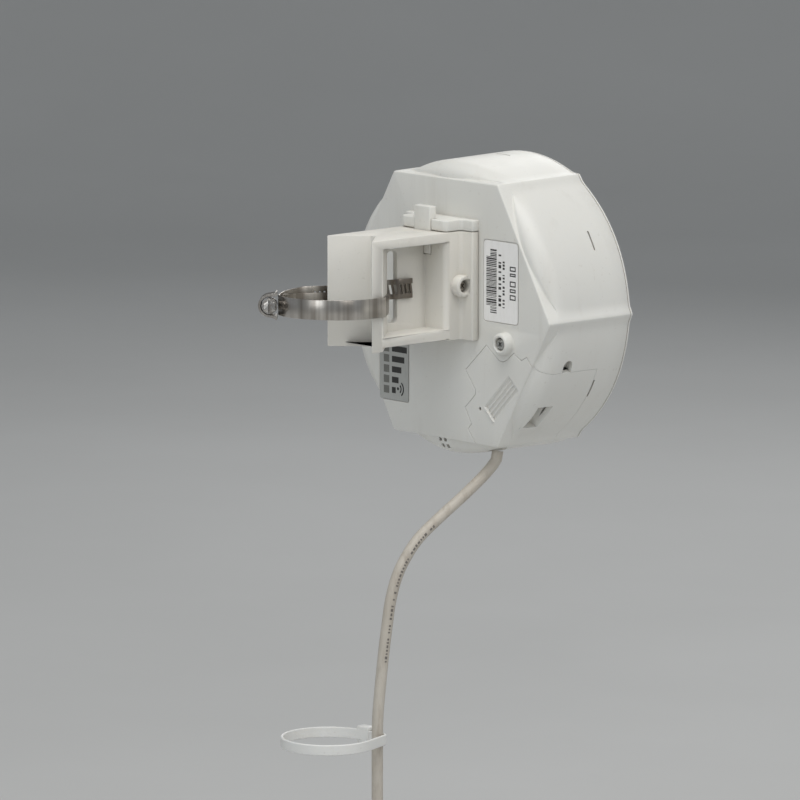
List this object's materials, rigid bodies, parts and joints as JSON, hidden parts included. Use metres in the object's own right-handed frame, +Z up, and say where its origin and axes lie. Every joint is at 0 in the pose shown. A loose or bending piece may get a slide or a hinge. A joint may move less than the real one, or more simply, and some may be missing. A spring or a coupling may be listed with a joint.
{
  "type": "outdoor wireless bridge",
  "caption": "Directional outdoor radio unit in a hexagonal case on a plastic pole bracket with a worm-drive hose clamp, sliding port door and data cable.",
  "frame": {"origin": "on the axis of the pole that the clamp grips, at the height of the clamp band", "axes": "+Z up the pole, +Y from the pole towards the antenna's front, +X to the right seen from the pole"},
  "size_m": [0.1402, 0.1567, 0.4087],
  "materials": {
    "case_plastic": "satin",
    "bracket_plastic": "satin",
    "label_film": "matte",
    "status_film": "matte",
    "steel": "satin",
    "reflector_metal": "satin",
    "seal_rubber": "matte",
    "coil_strap": "matte",
    "circuit_board": "gloss",
    "gold_plate": "satin",
    "cable_jacket": "satin",
    "clear_plastic": "gloss",
    "white_nylon": "satin",
    "dark_plastic": "matte"
  },
  "bodies": {
    "root": {"pole_bracket": "bracket_plastic", "bracket_screw_left": "steel", "bracket_screw_right": "steel", "clamp_band": "steel", "clamp_housing": "steel", "cable_tie": "white_nylon", "data_cable": "cable_jacket", "cable_coil": "cable_jacket", "coil_tie": "coil_strap", "far_plug": "clear_plastic"},
    "unit": {"rear_shell": "case_plastic", "front_cover": "case_plastic", "rating_label": "label_film", "status_label": "status_film", "case_screw_left": "steel", "case_screw_right": "steel", "board_screw_1": "steel", "board_screw_2": "steel", "board_screw_3": "steel", "board_screw_4": "steel", "rf_shield": "steel", "antenna_reflector": "reflector_metal", "housing_seal": "seal_rubber", "cable_grommet": "seal_rubber", "main_board": "circuit_board", "led_strip": "circuit_board", "feed_board": "circuit_board", "antenna_patch_1": "gold_plate", "antenna_patch_2": "gold_plate", "antenna_patch_3": "gold_plate", "antenna_patch_4": "gold_plate", "rf_feed_pin_1": "gold_plate", "rf_feed_pin_2": "gold_plate", "inner_lead": "cable_jacket", "inner_plug": "clear_plastic", "led_window_1": "clear_plastic", "led_window_2": "clear_plastic", "led_window_3": "clear_plastic", "led_window_4": "clear_plastic", "led_window_5": "clear_plastic", "feed_spacer_1": "white_nylon", "feed_spacer_2": "white_nylon", "feed_spacer_3": "white_nylon", "feed_spacer_4": "white_nylon", "ethernet_jack": "dark_plastic", "reset_switch": "dark_plastic"},
    "port_door": {"port_door": "case_plastic"},
    "lock_key": {"lock_key": "case_plastic"},
    "reset_button": {"reset_button": "white_nylon"},
    "clamp_screw": {"clamp_screw": "steel"}
  },
  "joints": [
    {"name": "unit_slide", "type": "slide", "parent": "root", "child": "unit", "axis": [0, 0, 1], "range_m": [0, 0.05]},
    {"name": "key_slide", "type": "slide", "parent": "unit", "child": "lock_key", "axis": [0, 0, 1], "range_m": [0, 0.022]},
    {"name": "door_slide", "type": "slide", "parent": "unit", "child": "port_door", "axis": [0.7071, 0, -0.7071], "range_m": [0, 0.026]},
    {"name": "reset_press", "type": "slide", "parent": "unit", "child": "reset_button", "axis": [0, 1, 0], "range_m": [0, 0.0005], "stiffness_N_per_m": 600},
    {"name": "screw_turn", "type": "hinge", "parent": "root", "child": "clamp_screw", "pos_m": [-0.01778, -0.01842, 0.00217], "axis": [0.7179, -0.6933, 0.0631], "continuous": true}
  ]
}
